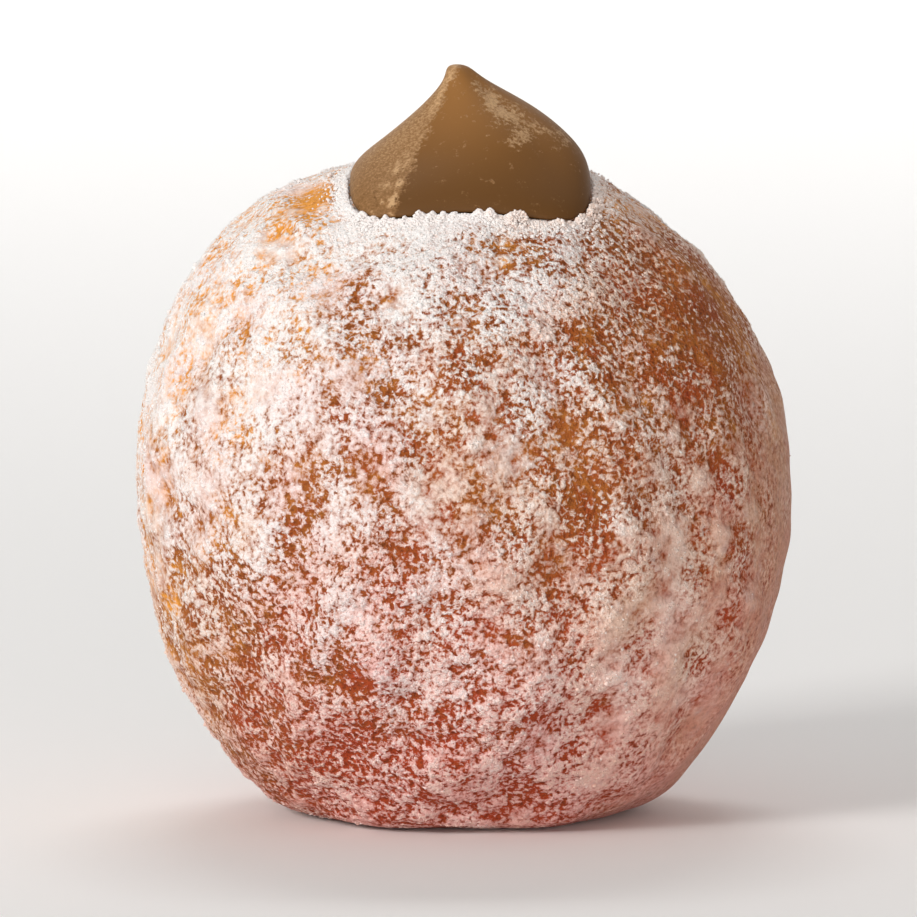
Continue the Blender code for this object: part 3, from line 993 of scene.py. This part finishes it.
def cream_painted_highlights(points):
    """Painted highlights on the cream, on its left flank and down the right of the tip, and how pale they
    are, with painted light higher up and painted shade low on the flank.
    """
    seen = seen_height(points)
    bend = gain(seen, *FLANK_BEND_GAIN)
    beside = FLANK_TOP[0] - FLANK_SLOPE * (FLANK_TOP[1] - seen) + bend - points[:, 0]
    flank = smooth_step(beside, -FLANK_SOFTNESS, FLANK_SOFTNESS)
    streak = np.clip(patches_at(points[:, 0], seen, PAINTED_HIGHLIGHT_PATCHES), 0.0, PAINTED_HIGHLIGHT_LIMIT)
    # painted highlight: the left flank and the streak down the right of the tip
    painted_highlight = np.maximum(flank, streak) * (points[:, 1] < HOLE_Y + PAINTED_HIGHLIGHT_DEPTH)
    painted_highlight += layered_lumps(points, PAINTED_HIGHLIGHT_LUMPS)
    flecks = smooth_step(layered_lumps(points, FLECK_LUMPS), *FLECK_RANGE)
    edge = hump(beside, *FLECK_BAND) * smooth_step(seen, *FLECK_HEIGHTS) * flecks
    ridge = RIDGE_PALENESS * hump(beside, *RIDGE_BAND) * smooth_step(seen, *RIDGE_HEIGHTS)
    upper = gain(seen, *UPPER_PAINTED_LIGHT_GAIN)
    shade = gain(seen, *FLANK_SHADE_GAIN) * (1.0 - edge)
    return painted_highlight, np.maximum.reduce((streak, edge, ridge, upper)) - shade


def make_cream(fit):
    """The dollop as a fine mesh."""
    mesh = bpy.data.meshes.new("dollop")
    ball = bmesh.new()
    bmesh.ops.create_uvsphere(ball, u_segments=CREAM_SEGMENTS, v_segments=CREAM_RINGS, radius=1.0)
    ball.to_mesh(mesh)
    ball.free()
    points = cream_points(read_points(mesh))
    write_points(mesh, fitted(points, fit))
    mesh.shade_smooth()
    painted_highlight, pale = cream_painted_highlights(points)
    # painted highlights, and how pale they are
    store(mesh, "painted_highlight", painted_highlight)
    store(mesh, "pale", pale)
    # painted light: the cream lighter toward the top and darker toward the bottom
    store(mesh, "light", smooth_step(seen_height(points), *CREAM_PAINTED_LIGHT_HEIGHTS))
    return mesh


def new_material(name, roughness):
    """A material and its shader."""
    material = bpy.data.materials.new(name)
    material.use_nodes = True
    shader = material.node_tree.nodes["Principled BSDF"]
    shader.inputs["Roughness"].default_value = roughness
    return material, shader


def link_or_set(tree, value, socket):
    """Feed a socket from another one, or give it a plain number or colour."""
    if isinstance(value, bpy.types.NodeSocket):
        tree.links.new(value, socket)
    else:
        socket.default_value = value


def link_math(tree, operation, *values):
    """A sum or another operation on numbers and sockets."""
    node = tree.nodes.new("ShaderNodeMath")
    node.operation = operation
    for socket, value in zip(node.inputs, values):
        link_or_set(tree, value, socket)
    return node.outputs["Value"]


def link_mix(tree, share, first, second):
    """A mix of two colours."""
    node = tree.nodes.new("ShaderNodeMix")
    node.data_type = "RGBA"
    sockets = {socket.name: socket for socket in node.inputs if socket.enabled}
    for name, value in (("Factor", share), ("A", first), ("B", second)):
        link_or_set(tree, value, sockets[name])
    return next(socket for socket in node.outputs if socket.enabled)


def link_ramp(tree, value, stops):
    """A colour ramp read at a value; stops are positions with colours."""
    node = tree.nodes.new("ShaderNodeValToRGB")
    ramp = node.color_ramp
    ramp.elements[0].position, ramp.elements[0].color = stops[0]
    ramp.elements[1].position, ramp.elements[1].color = stops[-1]
    for position, colour in stops[1:-1]:
        ramp.elements.new(position).color = colour
    tree.links.new(value, node.inputs["Fac"])
    return node.outputs["Color"]


def link_range(tree, value, start, end):
    """A smooth rise from 0 at start to 1 at end."""
    node = tree.nodes.new("ShaderNodeMapRange")
    node.interpolation_type = "SMOOTHSTEP"
    node.inputs["From Min"].default_value = start
    node.inputs["From Max"].default_value = end
    tree.links.new(value, node.inputs["Value"])
    return node.outputs["Result"]


def link_attribute(tree, name):
    """The number kept for each vertex under a name."""
    node = tree.nodes.new("ShaderNodeAttribute")
    node.attribute_name = name
    return node.outputs["Fac"]


def link_noise(tree, length, detail, roughness):
    """Noise with features of a length in millimetres."""
    where = tree.nodes.new("ShaderNodeTexCoord")
    node = tree.nodes.new("ShaderNodeTexNoise")
    node.inputs["Scale"].default_value = 1.0 / (length * MM)
    node.inputs["Detail"].default_value = detail
    node.inputs["Roughness"].default_value = roughness
    tree.links.new(where.outputs["Object"], node.inputs["Vector"])
    return node.outputs["Fac"]


def link_bump(tree, shader, height, depth, strength):
    """Relief of a depth in millimetres."""
    node = tree.nodes.new("ShaderNodeBump")
    node.inputs["Strength"].default_value = strength
    node.inputs["Distance"].default_value = depth * MM
    tree.links.new(height, node.inputs["Height"])
    tree.links.new(node.outputs["Normal"], shader.inputs["Normal"])


def link_crust_colour(tree, network):
    """The fried crust's colour, with painted shade at the bottom of the gaps in the sugar."""
    brown = link_attribute(tree, "brown")
    mottle = link_noise(tree, *CRUST_NOISE)
    mottle = link_math(tree, "MULTIPLY_ADD", mottle, CRUST_MOTTLE, -CRUST_MOTTLE / 2.0)
    colour = link_ramp(tree, link_math(tree, "ADD", brown, mottle), CRUST_STOPS)
    # painted shade in the deepest gaps, less of it on paler crust
    painted_pit_shade = link_math(tree, "MULTIPLY_ADD", link_range(tree, network, *PIT_RANGE), -PIT_SHARE, PIT_SHARE)
    painted_pit_shade = link_math(tree, "MULTIPLY", painted_pit_shade, link_range(tree, brown, *PIT_BROWN))
    return link_mix(tree, painted_pit_shade, colour, PIT_PAINTED_SHADE)


def link_sugar_colour(tree, tint, blush_share):
    """The sugar's colour at a tint, pinker where it blushes."""
    blush = link_math(tree, "MULTIPLY", link_attribute(tree, "blush"), blush_share)
    return link_mix(tree, blush, link_ramp(tree, tint, SUGAR_STOPS), BLUSH)


def link_film_colour(tree, level):
    """The colour of the sugar on the crust: tanner and pinker where it is thin, with painted soft shade
    in random spots.
    """
    thinness = link_math(tree, "MULTIPLY_ADD", level, -SOAK, SOAK * SOAK_LEVEL)
    tint = link_math(tree, "ADD", link_attribute(tree, "tint"), thinness)
    thick = link_range(tree, level, *THICK_LEVELS)
    blush_share = link_math(tree, "MULTIPLY_ADD", thick, -THICK_BLUSH_LOSS, BLUSH_SHARE)
    # painted shade of lumpy sugar, in soft random spots
    painted_shade_spots = link_range(tree, link_noise(tree, *SUGAR_PAINTED_SHADE_NOISE), *SUGAR_PAINTED_SHADE_RANGE)
    painted_shade_spots = link_math(tree, "MULTIPLY", painted_shade_spots, SUGAR_PAINTED_SHADE_SHARE)
    return link_mix(tree, painted_shade_spots, link_sugar_colour(tree, tint, blush_share), SUGAR_PAINTED_SHADE)


def crust_material():
    """Fried crust under a film of sugar with a fine network of gaps."""
    material, shader = new_material("sugared_crust", CRUST_ROUGHNESS)
    tree = material.node_tree
    network = link_network(tree, tree.nodes.new("ShaderNodeTexCoord").outputs["Object"])
    share = link_attribute(tree, "network")
    level = link_math(tree, "MULTIPLY_ADD", network, share, link_attribute(tree, "sugar"))
    opacity = link_ramp(tree, level, [(place, (grey, grey, grey, 1.0)) for place, grey in FILM_STOPS])
    colour = link_mix(tree, opacity, link_crust_colour(tree, network), link_film_colour(tree, level))
    tree.links.new(colour, shader.inputs["Base Color"])
    relief = link_math(tree, "MULTIPLY_ADD", link_noise(tree, *CAKE_NOISE), CAKE_SHARE, level)
    link_bump(tree, shader, relief, *CRUST_BUMP)
    shader.inputs["Specular IOR Level"].default_value = CRUST_SPECULAR
    return material


def sugar_material():
    """Powdered sugar, whiter where it lies thick."""
    material, shader = new_material("powdered_sugar", SUGAR_ROUGHNESS)
    tree = material.node_tree
    colour = link_sugar_colour(tree, link_attribute(tree, "tint"), BLUSH_SHARE - THICK_BLUSH_LOSS)
    tree.links.new(colour, shader.inputs["Base Color"])
    return material


def cream_material():
    """Smooth brown cream with painted light toward the top and painted shade toward the bottom, and paler
    speckled patches of painted highlight.
    """
    material, shader = new_material("brown_cream", CREAM_ROUGHNESS)
    tree = material.node_tree
    speckle = link_noise(tree, *SPECKLE_NOISE)
    speckle = link_math(tree, "MULTIPLY_ADD", speckle, SPECKLE_CONTRAST, -SPECKLE_CONTRAST / 2.0)
    # painted highlights, broken up by speckle
    painted_highlight_mask = link_range(tree, link_math(tree, "ADD", speckle, link_attribute(tree, "painted_highlight")), *PAINTED_HIGHLIGHT_RANGE)
    # painted light and shade: the smooth cream's colour by height as seen
    smooth = link_ramp(tree, link_attribute(tree, "light"), CREAM_STOPS)
    mottle = link_noise(tree, *PALE_NOISE)
    paleness = link_math(tree, "MULTIPLY_ADD", mottle, PALE_MOTTLE, PALE_START)
    paleness = link_math(tree, "MULTIPLY_ADD", link_attribute(tree, "pale"), PALE_SHARE, paleness)
    pale = link_ramp(tree, paleness, PAINTED_HIGHLIGHT_STOPS)
    tree.links.new(link_mix(tree, painted_highlight_mask, smooth, pale), shader.inputs["Base Color"])
    link_bump(tree, shader, link_math(tree, "MULTIPLY", mottle, painted_highlight_mask), *CREAM_BUMP)
    shader.inputs["Specular IOR Level"].default_value = CREAM_SPECULAR
    return material


def floor_material():
    """Plain pale floor."""
    material, shader = new_material("floor", FLOOR_ROUGHNESS)
    shader.inputs["Base Color"].default_value = FLOOR_COLOUR
    return material


def make_floor():
    """A pale sweep: a floor that curves up behind the doughnut."""
    profile = [(FLOOR_FRONT, 0.0), (FLOOR_BACK, 0.0)]
    for i in range(1, FLOOR_BEND_STEPS + 1):
        angle = np.pi / 2.0 * i / FLOOR_BEND_STEPS
        profile.append((FLOOR_BACK + FLOOR_BEND * np.sin(angle), FLOOR_BEND - FLOOR_BEND * np.cos(angle)))
    profile.append((FLOOR_BACK + FLOOR_BEND, FLOOR_TOP))
    edges = (-FLOOR_HALF_WIDTH, FLOOR_HALF_WIDTH)
    mesh = bpy.data.meshes.new("floor")
    sweep = bmesh.new()
    rows = [[sweep.verts.new((x * MM, y * MM, z * MM)) for x in edges] for y, z in profile]
    for near, far in zip(rows, rows[1:]):
        sweep.faces.new((near[0], near[1], far[1], far[0]))
    sweep.to_mesh(mesh)
    sweep.free()
    mesh.shade_smooth()
    mesh.materials.append(floor_material())
    floor = bpy.data.objects.new("floor", mesh)
    bpy.context.scene.collection.objects.link(floor)


def make_camera():
    """A long lens at the photograph's height."""
    data = bpy.data.cameras.new("camera")
    data.sensor_width = CAMERA_SENSOR
    data.lens = CAMERA_SENSOR * CAMERA_DISTANCE / FRAME_WIDTH
    data.clip_end = CAMERA_REACH * MM
    camera = bpy.data.objects.new("camera", data)
    elevation = np.radians(CAMERA_ELEVATION)
    back = Vector((0.0, -np.cos(elevation), np.sin(elevation)))
    camera.location = Vector(CAMERA_AIM) * MM + back * CAMERA_DISTANCE * MM
    camera.rotation_euler = back.to_track_quat("Z", "Y").to_euler()
    bpy.context.scene.collection.objects.link(camera)
    bpy.context.scene.camera = camera


def add_lamp(name, place, aim, size, power, colour):
    """A soft square lamp."""
    data = bpy.data.lights.new(name, "AREA")
    data.shape = "SQUARE"
    data.size = size * MM
    data.energy = power
    data.color = colour
    lamp = bpy.data.objects.new(name, data)
    lamp.location = [value * MM for value in place]
    lamp.rotation_euler = (Vector(place) - Vector(aim)).to_track_quat("Z", "Y").to_euler()
    bpy.context.scene.collection.objects.link(lamp)


def make_lights():
    """Soft studio light from the left, a weak warm fill from below, and a lit backdrop."""
    for lamp in LAMPS:
        add_lamp(*lamp)
    world = bpy.context.scene.world or bpy.data.worlds.new("world")
    bpy.context.scene.world = world
    world.use_nodes = True
    sky = world.node_tree.nodes["Background"]
    sky.inputs["Color"].default_value = SKY_COLOUR
    sky.inputs["Strength"].default_value = SKY_STRENGTH


def main():
    """Build the pieces, the floor, the camera and the lights."""
    skin, fit = make_skin()
    add_piece("crust", skin, crust_material(), "doughnut")
    add_piece("dollop", make_cream(fit), cream_material(), "cream")
    sugar = sugar_material()
    for name, size, count, seed in GRAINS:
        add_piece(name, make_grains(skin, fit, name, size, count, seed), sugar)
    add_piece("sugar_clumps", make_clumps(skin, fit), sugar)
    make_floor()
    make_camera()
    make_lights()
    bpy.context.scene.view_settings.view_transform = "Standard"


main()
